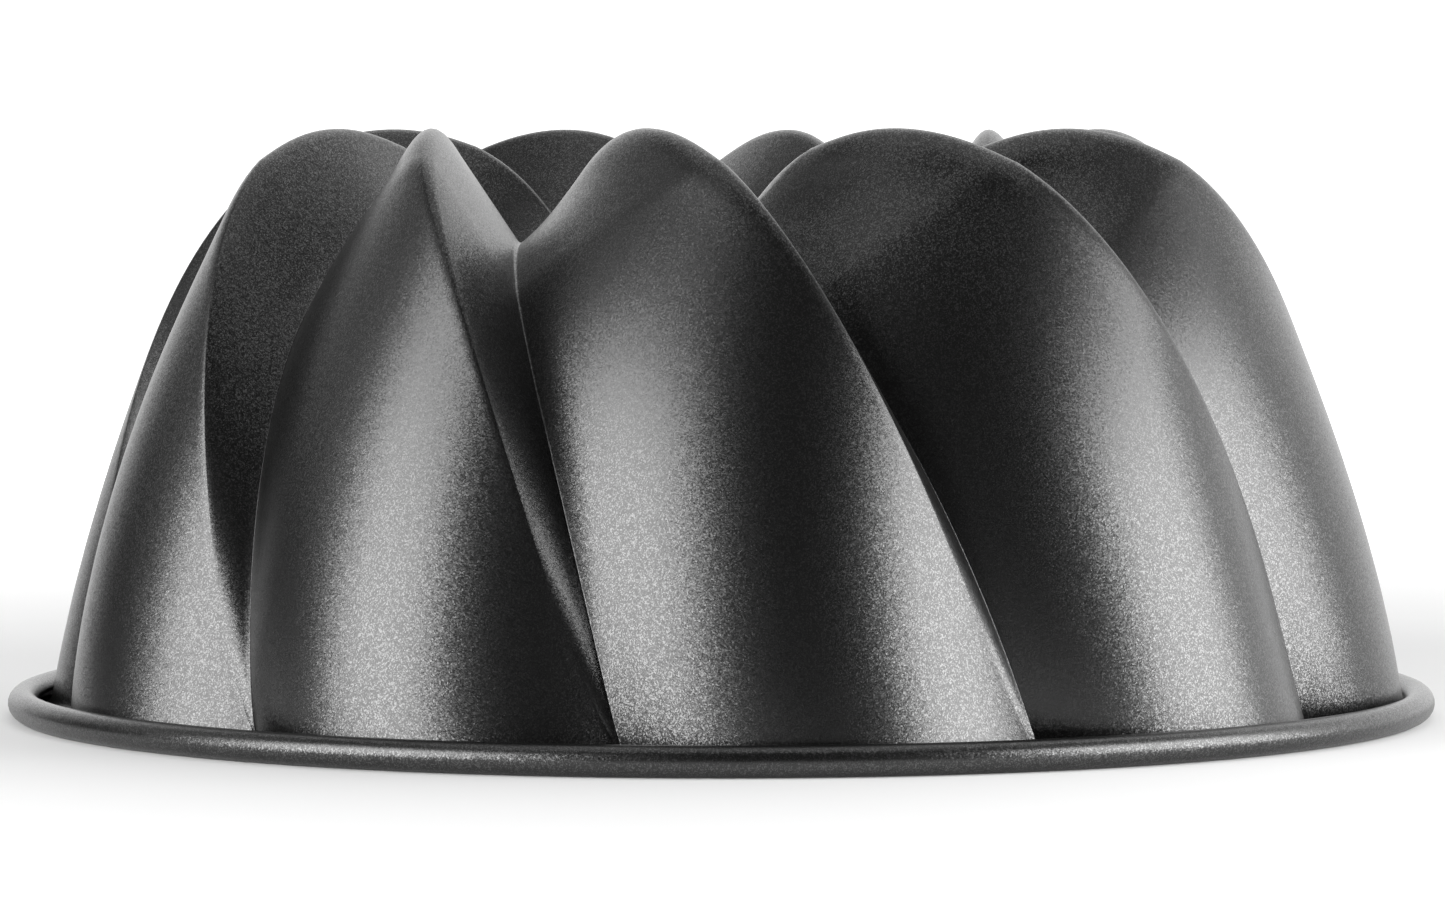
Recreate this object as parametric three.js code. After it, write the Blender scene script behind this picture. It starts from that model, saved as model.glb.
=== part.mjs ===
// Fluted tube pan, bottom up: it stands on its rolled rim with the swirling crown on top.
// Millimetres, +Z up. The origin is the middle of the rim, on the plane that it rests on.
// Angles run from the front (-Y) towards +X.

import * as THREE from 'three';

// Sheet, rolled rim and flange
const RIM_RADIUS = 130;
const BEAD_RADIUS = 2.7;
const CURL_END = 180;
const SHEET = 0.8;
const TROUGH_WIDTH = 0.3;
const FOOT_ROUND = 2;
const FIT_GAP = 0.3;

// Lobes: each has a crest and shares a valley with the lobe on either side
const LOBES = 10;
const FRONT_CREST_ANGLE = 27.4;
const FOOT_STEP = 0.5;
const CREST_RADIUS = 71.6;
const CREST_HEIGHT = 109.7;
const CREST_FULLNESS = 1.98;
const CREST_TWIST = 36.5;
const CREST_BOW = 2.3;
const CREST_HOOK = 1.5;
const HOOK_LENGTH = 0.06;
const VALLEY_RADIUS = 59.1;
const VALLEY_DEPTH = 23.2;
const VALLEY_FULLNESS = 2.1;
const VALLEY_RISE = 1.35;
const VALLEY_TWIST = 28.3;
const VALLEY_BOW = 5.1;
const FACE_BULGE = 10.4;
const MIDDLE_BULGE = 3.2;
const CROWN_DISH = 3.5;
const WALL_EDGE_ROUND = 2;
const CROWN_EDGE_ROUND = 9.6;
const EDGE_ROUND_GROWTH = 6;
const RISER_ROUND_SHARE = 0.6;
const EDGE_SHARE_LIMIT = 0.45;

// Throat, ledge and collar that carry the centre tube
const THROAT_RADIUS = 38;
const LEDGE_HEIGHT = 50.5;
const LEDGE_WIDTH = 3;
const COLLAR_LENGTH = 7;

// Centre tube
const TUBE_SHEET = 0.8;
const TUBE_END_RADIUS = 21;
const TUBE_END_HEIGHT = 3;
const SWAGE_WIDTH = 1.4;
const SWAGE_LENGTH = 4;

// Facets
const FACE_STEPS = 5;
const EDGE_STEPS = 2;
const RISER_STEPS = 1;
const CURL_STEPS = 7;
const TUBE_SEGMENTS = 64;
const WIRE_SIDES = 8;
const WALL_SWEEPS = [0, 6, 14, 24, 35, 46, 57, 68, 79];
const CROWN_SWEEPS = [90, 104, 120, 137, 155];

const QUARTER = Math.PI / 2;
const LOBE_ANGLE = (2 * Math.PI) / LOBES;
const AROUND = LOBES * (FACE_STEPS + EDGE_STEPS + RISER_STEPS);
const SHELL_FOOT = SHEET + FOOT_ROUND;
const SHELL_RADIUS = RIM_RADIUS - 2 * BEAD_RADIUS - TROUGH_WIDTH - FACE_BULGE;
const COLLAR_RADIUS = THROAT_RADIUS - LEDGE_WIDTH;
const COLLAR_END = LEDGE_HEIGHT - COLLAR_LENGTH;
const BEAD_CENTRE = RIM_RADIUS - BEAD_RADIUS;

const CREST = {
  radius: CREST_RADIUS,
  height: CREST_HEIGHT,
  acrossPower: 2 / CREST_FULLNESS,
  upPower: 2 / CREST_FULLNESS,
  twist: CREST_TWIST,
  bow: CREST_BOW,
  hook: CREST_HOOK,
  start: FRONT_CREST_ANGLE,
};
const VALLEY = {
  radius: VALLEY_RADIUS,
  height: CREST_HEIGHT - VALLEY_DEPTH,
  acrossPower: 2 / VALLEY_FULLNESS,
  upPower: 2 / VALLEY_RISE,
  twist: VALLEY_TWIST,
  bow: VALLEY_BOW,
  hook: 0,
  start: FRONT_CREST_ANGLE + FOOT_STEP,
};

const coatedSteel = new THREE.MeshStandardMaterial({ color: 0x4b4c4e, roughness: 0.42, metalness: 0.6 });
const plainSteel = new THREE.MeshStandardMaterial({ color: 0xa9abad, roughness: 0.35, metalness: 1 });

function polar({ radius, angle, height }) {
  return new THREE.Vector3(radius * Math.sin(angle), -radius * Math.cos(angle), height);
}

function between(from, to, share) {
  return {
    radius: THREE.MathUtils.lerp(from.radius, to.radius, share),
    angle: THREE.MathUtils.lerp(from.angle, to.angle, share),
    height: THREE.MathUtils.lerp(from.height, to.height, share),
  };
}

// A crest or valley line: up the wall from sweep 0, over the crown at a quarter turn
// and down to the throat at a half turn
function lineAt(line, sweep) {
  const turn = sweep / QUARTER;
  const hook = line.hook * (1 - Math.exp(-turn / HOOK_LENGTH));
  const bow = turn < 1 ? 4 * line.bow * turn * (1 - turn) : 0;
  const angle = THREE.MathUtils.degToRad(line.start - line.twist * turn + bow - hook);
  if (turn < 1) {
    const across = Math.cos(sweep) ** line.acrossPower;
    const up = Math.sin(sweep) ** line.upPower;
    return {
      radius: THREE.MathUtils.lerp(line.radius, SHELL_RADIUS, across),
      angle,
      height: THREE.MathUtils.lerp(SHELL_FOOT, line.height, up),
    };
  }
  return {
    radius: THREE.MathUtils.lerp(line.radius, THROAT_RADIUS, -Math.cos(sweep)),
    angle,
    height: THREE.MathUtils.lerp(LEDGE_HEIGHT, line.height, Math.sin(sweep)),
  };
}

// How far a lobe's face stands out from the line between its valley and its crest
function bulgeAt(sweep) {
  const turn = Math.min(sweep / QUARTER, 1);
  const dish = sweep < QUARTER ? turn ** 2 : Math.sin(sweep);
  return FACE_BULGE * (1 - turn) ** 2 + 2 * MIDDLE_BULGE * turn * (1 - turn) - CROWN_DISH * dish;
}

// One lobe across, at one sweep: valley, full face, rounded crest, riser down to the next valley
function lobeSection(sweep) {
  const crest = lineAt(CREST, sweep);
  const nextValley = lineAt(VALLEY, sweep);
  const valley = { ...nextValley, angle: nextValley.angle - LOBE_ANGLE };
  const bulge = bulgeAt(sweep);
  const edge = THREE.MathUtils.lerp(WALL_EDGE_ROUND, CROWN_EDGE_ROUND, Math.sin(sweep) ** EDGE_ROUND_GROWTH);
  const faceLength = polar(valley).distanceTo(polar(crest));
  const riserLength = polar(nextValley).distanceTo(polar(crest));
  const faceEnd = 1 - Math.min(edge / faceLength, EDGE_SHARE_LIMIT);
  const riserStart = Math.min((RISER_ROUND_SHARE * edge) / riserLength, EDGE_SHARE_LIMIT);

  const faceAt = (share) => {
    const point = between(valley, crest, share);
    const out = 4 * share * (1 - share) * bulge;
    point.radius += out * Math.cos(sweep);
    point.height += out * Math.sin(sweep);
    return polar(point);
  };
  const riserAt = (share) => polar(between(crest, nextValley, share));

  const points = [];
  for (let step = 0; step < FACE_STEPS; step += 1) {
    points.push(faceAt((faceEnd * step) / FACE_STEPS));
  }
  const rounding = new THREE.QuadraticBezierCurve3(faceAt(faceEnd), polar(crest), riserAt(riserStart));
  for (let step = 0; step < EDGE_STEPS; step += 1) {
    points.push(rounding.getPoint(step / EDGE_STEPS));
  }
  for (let step = 0; step < RISER_STEPS; step += 1) {
    points.push(riserAt(THREE.MathUtils.lerp(riserStart, 1, step / RISER_STEPS)));
  }
  return points;
}

function lobedRing(sweep) {
  const section = lobeSection(sweep);
  const upright = new THREE.Vector3(0, 0, 1);
  const ring = [];
  for (let lobe = 0; lobe < LOBES; lobe += 1) {
    section.forEach((point) => ring.push(point.clone().applyAxisAngle(upright, lobe * LOBE_ANGLE)));
  }
  return ring;
}

function roundRing(radius, height, angles) {
  return angles.map((angle) => polar({ radius, angle, height }));
}

// Round rings at the rim keep the angles of the lobes' points, and those at the throat are evenly spaced
function rimAngles() {
  return lobedRing(0).map((point) => Math.atan2(point.x, -point.y));
}

function throatAngles() {
  const start = lineAt(VALLEY, Math.PI).angle - LOBE_ANGLE;
  return Array.from({ length: AROUND }, (_, place) => start + (2 * Math.PI * place) / AROUND);
}

// The foot of the wall turns out into the flange with a small round
function footRing(spread, rise) {
  return lobedRing(0).map((point) => {
    const flat = new THREE.Vector3(point.x, point.y, 0);
    return flat.setLength(flat.length() + spread).setZ(rise);
  });
}

// Rings of the curl from the flange round to its free edge
function curlRings(radius) {
  return Array.from({ length: CURL_STEPS + 1 }, (_, step) => {
    const turn = THREE.MathUtils.degToRad(THREE.MathUtils.lerp(-90, CURL_END, step / CURL_STEPS));
    return beadRing(radius, turn);
  });
}

// A ring that lies on a round of this radius about the middle of the bead
function beadRing(radius, turn) {
  return roundRing(BEAD_CENTRE + radius * Math.cos(turn), BEAD_RADIUS + radius * Math.sin(turn), rimAngles());
}

// The other side of the sheet: each inner ring is moved square to the surface by the sheet's thickness
function backOfSheet(rings) {
  return rings.slice(1, -1).map((ring, index) => {
    const below = rings[index];
    const above = rings[index + 2];
    return ring.map((point, place) => {
      const left = ring[(place + AROUND - 1) % AROUND];
      const right = ring[(place + 1) % AROUND];
      const along = above[place].clone().sub(below[place]);
      const normal = right.clone().sub(left).cross(along).normalize();
      return point.clone().addScaledVector(normal, -SHEET);
    });
  });
}

// Closed skin over a loop of rings; past firstBackRing the quads split the other way, like those of the front
function loopGeometry(rings, firstBackRing) {
  const positions = rings.flat().flatMap((point) => point.toArray());
  const indices = [];
  rings.forEach((_, row) => {
    const here = row * AROUND;
    const next = ((row + 1) % rings.length) * AROUND;
    for (let place = 0; place < AROUND; place += 1) {
      const beside = (place + 1) % AROUND;
      if (row < firstBackRing) {
        indices.push(here + place, here + beside, next + beside, here + place, next + beside, next + place);
      } else {
        indices.push(here + place, here + beside, next + place, here + beside, next + beside, next + place);
      }
    }
  });
  const geometry = new THREE.BufferGeometry();
  geometry.setAttribute('position', new THREE.Float32BufferAttribute(positions, 3));
  geometry.setIndex(indices);
  geometry.computeVertexNormals();
  return geometry;
}

function flutedShell() {
  const angles = throatAngles();
  const sweeps = [...WALL_SWEEPS, ...CROWN_SWEEPS].map(THREE.MathUtils.degToRad);
  const footMiddle = FOOT_ROUND * (1 - Math.SQRT1_2);

  const front = [
    footRing(FOOT_ROUND, SHEET),
    footRing(footMiddle, SHEET + footMiddle),
    ...sweeps.map(lobedRing),
    roundRing(THROAT_RADIUS, LEDGE_HEIGHT, angles),
    roundRing(COLLAR_RADIUS, LEDGE_HEIGHT, angles),
    roundRing(COLLAR_RADIUS, COLLAR_END, angles),
  ];
  const back = [
    footRing(FOOT_ROUND, 0),
    ...backOfSheet(front),
    roundRing(COLLAR_RADIUS + SHEET, COLLAR_END, angles),
  ];
  const curlInside = curlRings(BEAD_RADIUS - SHEET);
  const curlOutside = curlRings(BEAD_RADIUS);
  const loop = [...curlInside.reverse(), ...front, ...back.reverse(), ...curlOutside];
  return loopGeometry(loop, curlInside.length + front.length);
}

// A ring of round wire, lying in the curl
function rimWire() {
  const wireRadius = BEAD_RADIUS - SHEET - FIT_GAP;
  const rings = Array.from({ length: WIRE_SIDES }, (_, side) => {
    return beadRing(wireRadius, (2 * Math.PI * side) / WIRE_SIDES);
  });
  return loopGeometry(rings, WIRE_SIDES);
}

// Flange on the ledge, sleeve through the collar, swage below it, then the taper to the open end
function centreTube() {
  const sleeve = COLLAR_RADIUS - FIT_GAP;
  const flange = THROAT_RADIUS - FIT_GAP;
  const flangeBottom = LEDGE_HEIGHT + FIT_GAP;
  const swageTop = COLLAR_END - FIT_GAP;
  const swage = sleeve + SWAGE_WIDTH;
  const taperStart = swageTop - SWAGE_LENGTH;
  const outside = [
    [flange, flangeBottom],
    [sleeve, flangeBottom],
    [sleeve, swageTop],
    [swage, swageTop - SWAGE_WIDTH],
    [sleeve, taperStart],
    [TUBE_END_RADIUS, TUBE_END_HEIGHT],
  ];
  const inside = [
    [TUBE_END_RADIUS - TUBE_SHEET, TUBE_END_HEIGHT],
    [sleeve - TUBE_SHEET, taperStart],
    [swage - TUBE_SHEET, swageTop - SWAGE_WIDTH],
    [sleeve - TUBE_SHEET, swageTop],
    [sleeve - TUBE_SHEET, flangeBottom + TUBE_SHEET],
    [flange, flangeBottom + TUBE_SHEET],
  ];
  const profile = [...outside, ...inside, outside[0]].map((pair) => new THREE.Vector2(...pair));
  return new THREE.LatheGeometry(profile.reverse(), TUBE_SEGMENTS).rotateX(QUARTER);
}

function piece(name, geometry, material) {
  const mesh = new THREE.Mesh(geometry, material);
  mesh.name = name;
  return mesh;
}

const pan = new THREE.Group();
pan.add(piece('fluted_shell', flutedShell(), coatedSteel));
pan.add(piece('rim_wire', rimWire(), plainSteel));
pan.add(piece('centre_tube', centreTube(), coatedSteel));

export default pan;
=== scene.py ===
import math

import bmesh
import bpy
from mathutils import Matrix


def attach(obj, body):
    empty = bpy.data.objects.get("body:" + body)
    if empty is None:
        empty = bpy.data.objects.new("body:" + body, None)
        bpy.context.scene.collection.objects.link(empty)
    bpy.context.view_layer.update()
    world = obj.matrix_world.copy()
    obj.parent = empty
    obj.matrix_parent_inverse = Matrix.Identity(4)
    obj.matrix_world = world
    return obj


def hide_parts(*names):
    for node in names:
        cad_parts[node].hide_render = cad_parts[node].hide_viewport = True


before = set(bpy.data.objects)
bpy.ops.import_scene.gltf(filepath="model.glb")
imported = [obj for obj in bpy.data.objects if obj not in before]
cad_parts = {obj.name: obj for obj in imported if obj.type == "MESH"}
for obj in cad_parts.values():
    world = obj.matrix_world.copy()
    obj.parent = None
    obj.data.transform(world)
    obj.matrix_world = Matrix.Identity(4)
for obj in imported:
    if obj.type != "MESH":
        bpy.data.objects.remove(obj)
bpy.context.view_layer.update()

# Fluted shell: one steel sheet, pressed into ten lobes that swirl up the wall, over the crown and down into
# the throat. Its foot turns out into a flat flange, whose edge is rolled up into a bead round the rim wire.
# A dark grey non-stick coat with a fine metal fleck is sprayed on both sides.
rim_radius = 0.1298
bead_radius = 0.0027
sheet = 0.0008
foot_round = 0.002
shell_radius = 0.1138
shell_foot = sheet + foot_round
throat_radius = 0.038
ledge_height = 0.0505
lobes = 10
lobe_turn = 2 * math.pi / lobes
quarter_turn = math.pi / 2

# A crest or valley line has its radius and height at the crown, the powers that shape its way across and
# up, and in degrees its start, its twist, its bow on the way up and its hook at the flange
crest_line = {"radius": 0.0716, "height": 0.1100, "across": 2 / 1.98, "up": 2 / 1.98,
              "twist": 36.5, "bow": 2.3, "hook": 1.5, "start": 27.4}
valley_line = {"radius": 0.0591, "height": 0.0866, "across": 2 / 2.1, "up": 2 / 1.35,
               "twist": 28.3, "bow": 5.1, "hook": 0, "start": 27.9}
hook_share = 0.06

# How far a face swells between its two lines: most at the foot, and on the crown it is dished instead
foot_bulge = 0.0104
middle_bulge = 0.0032
crown_dish = 0.0035

# How far the rounding of a crest or valley reaches from its line: little on the wall and more on the crown.
# A crest's reaches less far down the riser, and none takes up more than a share of the face or riser.
crest_round = {"wall": 0.0015, "crown": 0.0096, "growth": 6}
valley_round = {"wall": 0.0003, "crown": 0.0012, "growth": 12}
riser_reach = 0.6
round_limit = 0.45
face_foot_limit = 0.2


def mix(first, last, share):
    return tuple(a + (b - a) * share for a, b in zip(first, last))


def turned(radius, angle, height):
    return (radius * math.sin(angle), -radius * math.cos(angle), height)


def line_at(line, sweep):
    """Radius, angle and height of a crest or valley line, from the foot over the crown to the throat."""
    share = sweep / quarter_turn
    bow = 4 * line["bow"] * share * (1 - share) if share < 1 else 0
    hook = line["hook"] * (1 - math.exp(-share / hook_share))
    angle = math.radians(line["start"] - line["twist"] * share + bow - hook)
    if share < 1:
        inwards = math.cos(sweep) ** line["across"]
        upwards = math.sin(sweep) ** line["up"]
        radius = line["radius"] + (shell_radius - line["radius"]) * inwards
        return (radius, angle, shell_foot + (line["height"] - shell_foot) * upwards)
    radius = line["radius"] + (line["radius"] - throat_radius) * math.cos(sweep)
    return (radius, angle, ledge_height + (line["height"] - ledge_height) * math.sin(sweep))


def reach_at(rounding, sweep):
    """How far the rounding of a crest or valley reaches from its line, at one place from foot to throat."""
    return rounding["wall"] + (rounding["crown"] - rounding["wall"]) * math.sin(sweep) ** rounding["growth"]


def rounded(first, corner, last, share):
    return mix(mix(first, corner, share), mix(corner, last, share), share)


face_steps = 22
crest_steps = 8
riser_steps = 6
valley_steps = 4
across = face_steps + crest_steps + riser_steps + valley_steps


def lobe_section(sweep):
    """Points across one lobe: its full face, the rounded crest, the riser and the next valley's fillet."""
    crest = line_at(crest_line, sweep)
    valley = line_at(valley_line, sweep)
    start = (valley[0], valley[1] - lobe_turn, valley[2])
    outwards = math.cos(sweep)
    upwards = math.sin(sweep)
    share = min(sweep / quarter_turn, 1)
    dish = share**2 if share < 1 else upwards
    bulge = foot_bulge * (1 - share) ** 2 + 2 * middle_bulge * share * (1 - share) - crown_dish * dish
    face_length = math.dist(turned(*start), turned(*crest))
    riser_length = math.dist(turned(*crest), turned(*valley))
    crest_reach = reach_at(crest_round, sweep)
    valley_reach = reach_at(valley_round, sweep)
    face_start = min(valley_reach / face_length, face_foot_limit)
    face_end = 1 - min(crest_reach / face_length, round_limit)
    riser_start = min(riser_reach * crest_reach / riser_length, round_limit)
    riser_end = 1 - min(valley_reach / riser_length, round_limit)

    def face(place, turn=0):
        radius, angle, height = mix(start, crest, place)
        swell = 4 * place * (1 - place) * bulge
        return turned(radius + swell * outwards, angle + turn, height + swell * upwards)

    def riser(place):
        return turned(*mix(crest, valley, place))

    points = []
    for step in range(face_steps):
        points.append(face(face_start + (face_end - face_start) * step / face_steps))
    # The face runs on straight into the rounded crest, to a corner of its own
    run_on = 4 * (1 - face_end) ** 2 * bulge
    face_corner = turned(crest[0] + run_on * outwards, crest[1], crest[2] + run_on * upwards)
    for step in range(crest_steps):
        place = step / crest_steps
        corner = mix(face_corner, turned(*crest), place)
        points.append(rounded(face(face_end), corner, riser(riser_start), place))
    for step in range(riser_steps):
        points.append(riser(riser_start + (riser_end - riser_start) * step / riser_steps))
    next_face = face(face_start, lobe_turn)
    for step in range(valley_steps + 1):
        points.append(rounded(riser(riser_end), turned(*valley), next_face, step / valley_steps))
    return points


# The rows lie closer together at the foot, where the crests hook
wall_steps = 56
crown_steps = 40
along = wall_steps + crown_steps
row_growth = 0.4
sections = []
for row in range(along + 1):
    if row <= wall_steps:
        share = row / wall_steps
        sections.append(lobe_section(quarter_turn * ((1 - row_growth) * share + row_growth * share**2)))
    else:
        sections.append(lobe_section(quarter_turn * (1 + (row - wall_steps) / crown_steps)))

# The press leaves no edge where the wall turns over into the crown, so the rows there are blended: each
# point goes half way to the middle of its two neighbours, again and again
blended_rows = 9
crown_blends = 18
for blending in range(crown_blends):
    before = [list(section) for section in sections]
    for row in range(wall_steps - blended_rows, wall_steps + blended_rows + 1):
        for column in range(across + 1):
            beside = mix(before[row - 1][column], before[row + 1][column], 0.5)
            sections[row][column] = mix(before[row][column], beside, 0.5)

# One lobe is shaped from a flat grid and spun round to make all ten
bpy.ops.object.select_all(action="DESELECT")
bpy.ops.mesh.primitive_grid_add(x_subdivisions=across, y_subdivisions=along, size=1)
shell = bpy.context.object
shell.name = "fluted_shell_sheet"
for point in shell.data.vertices:
    column = round((point.co.x + 0.5) * across)
    row = round((point.co.y + 0.5) * along)
    point.co = sections[row][column]
merge_distance = 0.000005
bpy.ops.object.mode_set(mode="EDIT")
bpy.ops.mesh.select_all(action="SELECT")
bpy.ops.mesh.spin(
    steps=lobes - 1, dupli=True, angle=lobe_turn * (lobes - 1), center=(0, 0, 0), axis=(0, 0, 1)
)
bpy.ops.mesh.select_all(action="SELECT")
bpy.ops.mesh.remove_doubles(threshold=merge_distance)

pick_margin = 0.0001


def select_edge_ring(level, widest):
    """Picks the free edge that lies at one height and within a radius."""
    bpy.ops.mesh.select_mode(type="EDGE")
    bpy.ops.mesh.select_all(action="DESELECT")
    mesh = bmesh.from_edit_mesh(bpy.context.object.data)
    for edge in mesh.edges:
        if edge.is_boundary:
            middle = (edge.verts[0].co + edge.verts[1].co) / 2
            if abs(middle.z - level) < pick_margin and middle.xy.length < widest:
                edge.select_set(True)
    bmesh.update_edit_mesh(bpy.context.object.data)


def draw_ring(height, radius=None, widen=0):
    """Extrudes the picked edge to a height, and to one radius or wider by the same amount all round."""
    bpy.ops.mesh.extrude_region_move()
    mesh = bmesh.from_edit_mesh(bpy.context.object.data)
    for point in mesh.verts:
        if point.select:
            old_radius = point.co.xy.length
            new_radius = old_radius + widen if radius is None else radius
            point.co.xy *= new_radius / old_radius
            point.co.z = height
    bmesh.update_edit_mesh(bpy.context.object.data)


# The foot turns out into the flange, and the flange's edge curls up, over and back round the wire
foot_steps = 4
select_edge_ring(shell_foot, rim_radius)
widened = 0
for step in range(1, foot_steps + 1):
    turn = quarter_turn * step / foot_steps
    wide = foot_round * (1 - math.cos(turn))
    draw_ring(shell_foot - foot_round * math.sin(turn), widen=wide - widened)
    widened = wide
curl_steps = 16
curl_start = -quarter_turn
curl_sweep = 3 * quarter_turn
curl_inside = bead_radius - sheet
bead_centre = rim_radius - bead_radius
for step in range(curl_steps + 1):
    curl = curl_start + curl_sweep * step / curl_steps
    draw_ring(bead_radius + curl_inside * math.sin(curl), radius=bead_centre + curl_inside * math.cos(curl))

# In the throat the sheet runs in level as a ledge and turns down into a short collar (radius, height)
collar_rings = ((0.0358, 0.0505), (0.0353, 0.0504), (0.0351, 0.0501), (0.035, 0.0497), (0.035, 0.0435))
select_edge_ring(ledge_height, throat_radius + pick_margin)
for radius, height in collar_rings:
    draw_ring(height, radius=radius)
bpy.ops.mesh.select_all(action="SELECT")
bpy.ops.mesh.normals_make_consistent(inside=False)


def thicken(piece):
    """Gives a drawn sheet its thickness, on the side away from its normals."""
    bpy.ops.object.mode_set(mode="OBJECT")
    bpy.ops.object.modifier_add(type="SOLIDIFY")
    piece.modifiers["Solidify"].thickness = sheet
    piece.modifiers["Solidify"].offset = -1
    bpy.ops.object.modifier_apply(modifier="Solidify")


thicken(shell)
bpy.ops.object.shade_smooth()


def new_finish(name):
    """A new material, with its nodes and its links."""
    finish = bpy.data.materials.new(name)
    finish.use_nodes = True
    return finish, finish.node_tree.nodes, finish.node_tree.links


def put_on(piece, finish):
    piece.data.materials.clear()
    piece.data.materials.append(finish)


def grey(level):
    return (level, level, level, 1)


# The coat's flakes are the cells of a fine pattern. Over half of them are about equally dark, and the rest
# range up to bright.
coat_roughness = 0.32
flakes_per_metre = 5200
darkest_flake = 0.066
usual_flake = 0.072
brightest_flake = 0.15
usual_share = 0.55
coat, nodes, links = new_finish("flecked_dark_grey_coat")
shader = nodes["Principled BSDF"]
shader.inputs["Metallic"].default_value = 1
shader.inputs["Roughness"].default_value = coat_roughness
place = nodes.new("ShaderNodeTexCoord")
flake = nodes.new("ShaderNodeTexVoronoi")
flake.inputs["Scale"].default_value = flakes_per_metre
links.new(place.outputs["Object"], flake.inputs["Vector"])
parts = nodes.new("ShaderNodeSeparateColor")
links.new(flake.outputs["Color"], parts.inputs["Color"])
tone = nodes.new("ShaderNodeValToRGB")
tone.color_ramp.elements[0].color = grey(darkest_flake)
tone.color_ramp.elements[1].color = grey(brightest_flake)
tone.color_ramp.elements.new(usual_share).color = grey(usual_flake)
links.new(parts.outputs["Blue"], tone.inputs["Fac"])
links.new(tone.outputs["Color"], shader.inputs["Base Color"])

# Each flake also leans its own way: its random colour, less middle grey, is added to the surface's normal
flake_lean = 0.15
middle_grey = (0.5, 0.5, 0.5)
lean = nodes.new("ShaderNodeVectorMath")
lean.operation = "SUBTRACT"
lean.inputs[1].default_value = middle_grey
links.new(flake.outputs["Color"], lean.inputs[0])
tilt = nodes.new("ShaderNodeVectorMath")
tilt.operation = "SCALE"
tilt.inputs["Scale"].default_value = flake_lean
links.new(lean.outputs["Vector"], tilt.inputs[0])
surface = nodes.new("ShaderNodeNewGeometry")
leaning = nodes.new("ShaderNodeVectorMath")
leaning.operation = "ADD"
links.new(surface.outputs["Normal"], leaning.inputs[0])
links.new(tilt.outputs["Vector"], leaning.inputs[1])
normal = nodes.new("ShaderNodeVectorMath")
normal.operation = "NORMALIZE"
links.new(leaning.outputs["Vector"], normal.inputs[0])
links.new(normal.outputs["Vector"], shader.inputs["Normal"])
put_on(shell, coat)
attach(shell, "root")
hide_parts("fluted_shell")

# Rim wire: a ring of plain drawn steel wire, closed by a butt weld.
# The curl of the rim is rolled over it and holds it, so it only shows in the gap under the curl's edge.
dull_steel = (0.45, 0.45, 0.46, 1)
bright_steel = (0.62, 0.62, 0.63, 1)
steel_roughness = 0.35
drawing_scale = 900
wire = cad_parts["rim_wire"]
steel, nodes, links = new_finish("drawn_steel_wire")
shader = nodes["Principled BSDF"]
shader.inputs["Metallic"].default_value = 1
shader.inputs["Roughness"].default_value = steel_roughness
place = nodes.new("ShaderNodeTexCoord")
drawing = nodes.new("ShaderNodeTexNoise")
drawing.inputs["Scale"].default_value = drawing_scale
links.new(place.outputs["Object"], drawing.inputs["Vector"])
tone = nodes.new("ShaderNodeValToRGB")
tone.color_ramp.elements[0].color = dull_steel
tone.color_ramp.elements[1].color = bright_steel
links.new(drawing.outputs["Fac"], tone.inputs["Fac"])
links.new(tone.outputs["Color"], shader.inputs["Base Color"])
put_on(wire, steel)

# Centre tube: a separate tapered tube of the same coated sheet. Its flange lies on the ledge of the throat,
# its sleeve passes through the collar, and a swage below the collar locks it there.
tube_sides = 128
flange_radius = 0.0377
flange_top = 0.0516
sharp_angle = math.radians(40)
# From the flange's inner edge, through the sleeve and the swage, to the narrow end (radius, height)
tube_rings = (
    (0.0347, 0.0516), (0.0342, 0.0514), (0.03395, 0.051), (0.0339, 0.0506),
    (0.0339, 0.0435), (0.0341, 0.0431), (0.0352, 0.042), (0.0353, 0.0418),
    (0.0352, 0.0416), (0.0341, 0.0396), (0.0337, 0.0389), (0.0202, 0.003),
)
bpy.ops.object.select_all(action="DESELECT")
bpy.ops.mesh.primitive_circle_add(vertices=tube_sides, radius=flange_radius, location=(0, 0, 0))
tube = bpy.context.object
tube.name = "centre_tube_sheet"
bpy.ops.object.mode_set(mode="EDIT")
bpy.ops.mesh.select_all(action="SELECT")
bpy.ops.transform.translate(value=(0, 0, flange_top))
for radius, height in tube_rings:
    draw_ring(height, radius=radius)
bpy.ops.mesh.select_all(action="SELECT")
bpy.ops.mesh.normals_make_consistent(inside=True)
thicken(tube)
bpy.ops.object.shade_smooth_by_angle(angle=sharp_angle)
put_on(tube, coat)
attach(tube, "root")
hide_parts("centre_tube")

# Floor: a wide, plain white table top, level with the foot of the rim. It has a painted glow, seen by the
# eye and in mirror images, which grows with the distance from the pan up to pure white. Close to the pan
# the glow is weak, which paints the floor darker round the pan, so the pan's real shadow shows close by and
# fades out further away.
floor_size = 40
floor_tone = 0.75
# Distances from the pan where the painted glow starts to grow and where it is full white, and the weak glow
# close to the pan, which is painted shade round the pan
glow_start_distance = 0.1
full_glow_distance = 0.8
least_glow_near_pan = 0.1
bpy.ops.object.select_all(action="DESELECT")
bpy.ops.mesh.primitive_plane_add(size=floor_size, location=(0, 0, 0))
floor = bpy.context.object
floor.name = "floor"
white, nodes, links = new_finish("table_top_with_painted_glow")
shader = nodes["Principled BSDF"]
shader.inputs["Base Color"].default_value = grey(floor_tone)
shader.inputs["Roughness"].default_value = 1
shader.inputs["Specular IOR Level"].default_value = 0
shader.inputs["Emission Color"].default_value = grey(1)
rays = nodes.new("ShaderNodeLightPath")
seen = nodes.new("ShaderNodeMath")
seen.operation = "MAXIMUM"
links.new(rays.outputs["Is Camera Ray"], seen.inputs[0])
links.new(rays.outputs["Is Glossy Ray"], seen.inputs[1])
seen_too = nodes.new("ShaderNodeMath")
seen_too.operation = "MAXIMUM"
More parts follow.
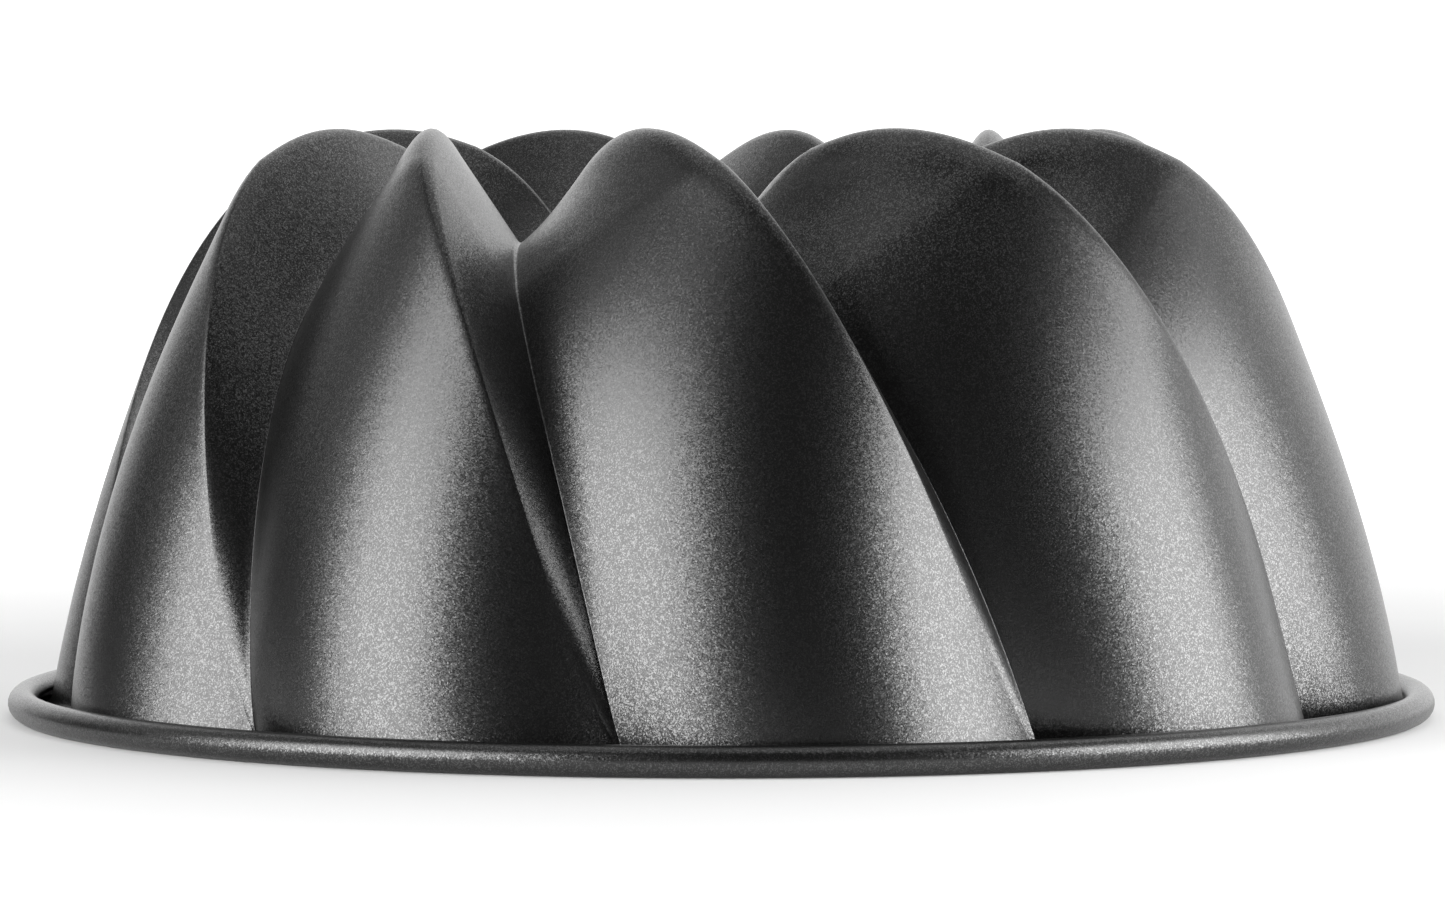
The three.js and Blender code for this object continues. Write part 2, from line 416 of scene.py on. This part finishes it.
links.new(seen.outputs[0], seen_too.inputs[0])
links.new(rays.outputs["Is Transmission Ray"], seen_too.inputs[1])
place = nodes.new("ShaderNodeTexCoord")
distance = nodes.new("ShaderNodeVectorMath")
distance.operation = "LENGTH"
links.new(place.outputs["Object"], distance.inputs[0])
# Painted glow by distance from the pan: weak close by, a painted darkening round the pan, and pure white
# far off
glow_by_distance = nodes.new("ShaderNodeMapRange")
glow_by_distance.interpolation_type = "SMOOTHSTEP"
glow_by_distance.inputs["From Min"].default_value = glow_start_distance
glow_by_distance.inputs["From Max"].default_value = full_glow_distance
glow_by_distance.inputs["To Min"].default_value = least_glow_near_pan
links.new(distance.outputs["Value"], glow_by_distance.inputs["Value"])
glow = nodes.new("ShaderNodeMath")
glow.operation = "MULTIPLY"
links.new(seen_too.outputs[0], glow.inputs[0])
links.new(glow_by_distance.outputs["Result"], glow.inputs[1])
links.new(glow.outputs[0], shader.inputs["Emission Strength"])
put_on(floor, white)

# Studio: four softboxes, a large one at the front left, a nearer one at the right, a dim one overhead and a
# dim one high up at the left, a little to the back. Their angles are in degrees, round the pan from its
# front, and their level is the brightness of their face.
softboxes = (
    {"name": "softbox_left", "around": -56, "away": 0.8, "lift": 0.32, "tilt": 90,
     "width": 0.71, "height": 0.64, "level": 5.97},
    {"name": "softbox_right", "around": 70, "away": 0.485, "lift": 0.17, "tilt": 90,
     "width": 0.41, "height": 0.34, "level": 6.9},
    {"name": "softbox_overhead", "around": 180, "away": 0.08, "lift": 0.8, "tilt": 0,
     "width": 0.9, "height": 0.9, "level": 0.7},
    {"name": "softbox_fill", "around": -112, "away": 0.8, "lift": 0.55, "tilt": 55,
     "width": 0.7, "height": 0.6, "level": 0.36},
)
for softbox in softboxes:
    around = math.radians(softbox["around"])
    lamp = bpy.data.lights.new(softbox["name"], "AREA")
    lamp.shape = "RECTANGLE"
    lamp.size = softbox["width"]
    lamp.size_y = softbox["height"]
    lamp.energy = softbox["level"] * math.pi * softbox["width"] * softbox["height"]
    lamp_object = bpy.data.objects.new(softbox["name"], lamp)
    bpy.context.scene.collection.objects.link(lamp_object)
    lamp_object.location = turned(softbox["away"], around, softbox["lift"])
    lamp_object.rotation_euler = (math.radians(softbox["tilt"]), 0, around)
    lamp_object.visible_camera = False

# Room: white behind the pan and a little to the right, fading to dark at the sides, overhead and on the
# side of the camera. The pan mirrors it as it mirrors the softboxes.
bright_side = (0.3, 0.9, 0.2)
dark_edge = 0.35
bright_edge = 0.85
dark_level = 0.02
bright_level = 1.5
world = bpy.data.worlds.new("white_room")
bpy.context.scene.world = world
world.use_nodes = True
nodes = world.node_tree.nodes
links = world.node_tree.links
room = nodes["Background"]
room.inputs["Color"].default_value = grey(1)
place = nodes.new("ShaderNodeTexCoord")
towards = nodes.new("ShaderNodeVectorMath")
towards.operation = "DOT_PRODUCT"
towards.inputs[1].default_value = bright_side
links.new(place.outputs["Generated"], towards.inputs[0])
behind = nodes.new("ShaderNodeMapRange")
behind.interpolation_type = "SMOOTHSTEP"
behind.inputs["From Min"].default_value = dark_edge
behind.inputs["From Max"].default_value = bright_edge
behind.inputs["To Min"].default_value = dark_level
behind.inputs["To Max"].default_value = bright_level
links.new(towards.outputs["Value"], behind.inputs["Value"])
links.new(behind.outputs["Result"], room.inputs["Strength"])

# Camera: a long lens, 1.2 m in front of the middle of the pan. It stands level with the crown and is tipped
# down a little.
camera_distance = 1.199
camera_height = 0.104
camera_tip = 0.0475
lens = bpy.data.cameras.new("camera")
lens.sensor_fit = "HORIZONTAL"
lens.sensor_width = 36
lens.lens = 163.72
lens.shift_x = 0.0008
camera = bpy.data.objects.new("camera", lens)
bpy.context.scene.collection.objects.link(camera)
camera.location = (0, -camera_distance, camera_height)
camera.rotation_euler = (quarter_turn - camera_tip, 0, 0)
bpy.context.scene.camera = camera
bpy.context.scene.view_settings.view_transform = "Standard"
